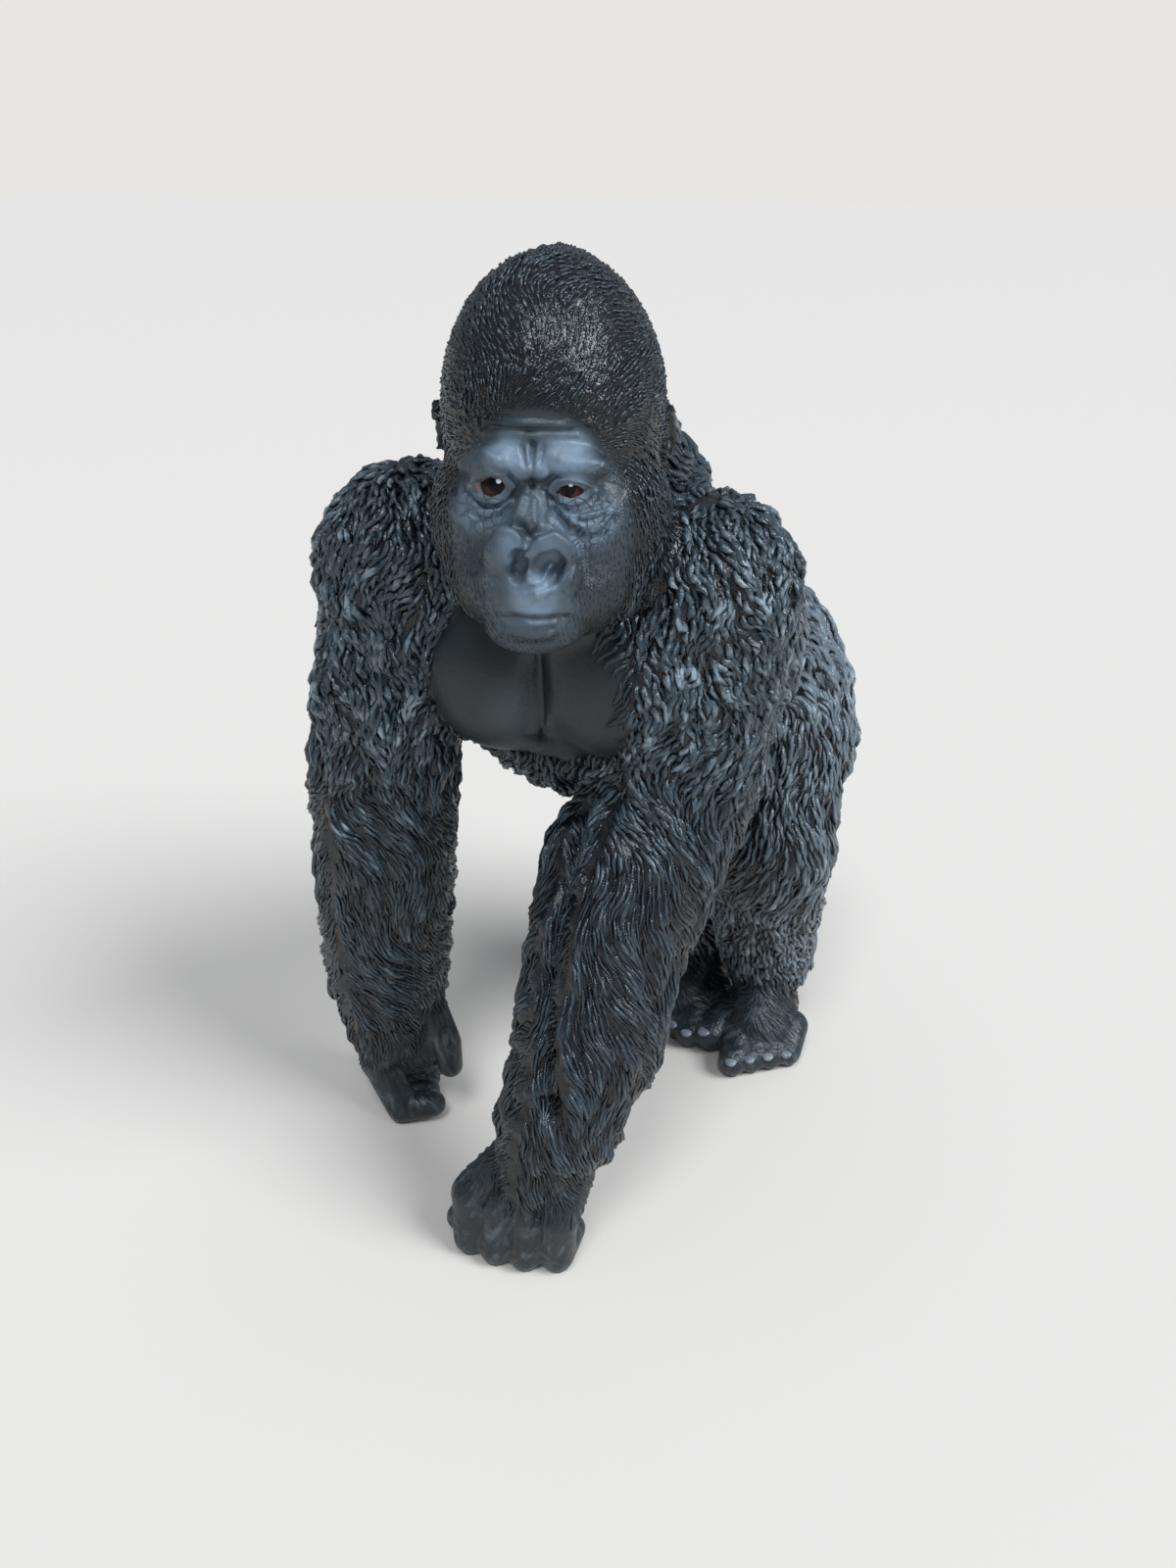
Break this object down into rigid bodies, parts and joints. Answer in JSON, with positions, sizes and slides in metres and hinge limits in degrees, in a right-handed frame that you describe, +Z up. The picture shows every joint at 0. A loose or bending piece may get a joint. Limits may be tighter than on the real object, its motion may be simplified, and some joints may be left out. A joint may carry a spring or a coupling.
{
  "type": "gorilla figurine",
  "caption": "Small moulded vinyl figurine of a male gorilla walking on its knuckles, with textured black fur, a bare grey face and painted brown eyes.",
  "frame": {"origin": "on the ground under the middle of the figure's box", "axes": "+Z up, -Y the way the gorilla walks, +X the gorilla's left"},
  "size_m": [0.0464, 0.0576, 0.085],
  "materials": {
    "vinyl": "satin charcoal black vinyl, fur relief with blue grey dry-brushed tips, smoother blue grey skin, painted brown eyes"
  },
  "bodies": {
    "root": {"gorilla": "vinyl"}
  },
  "joints": []
}
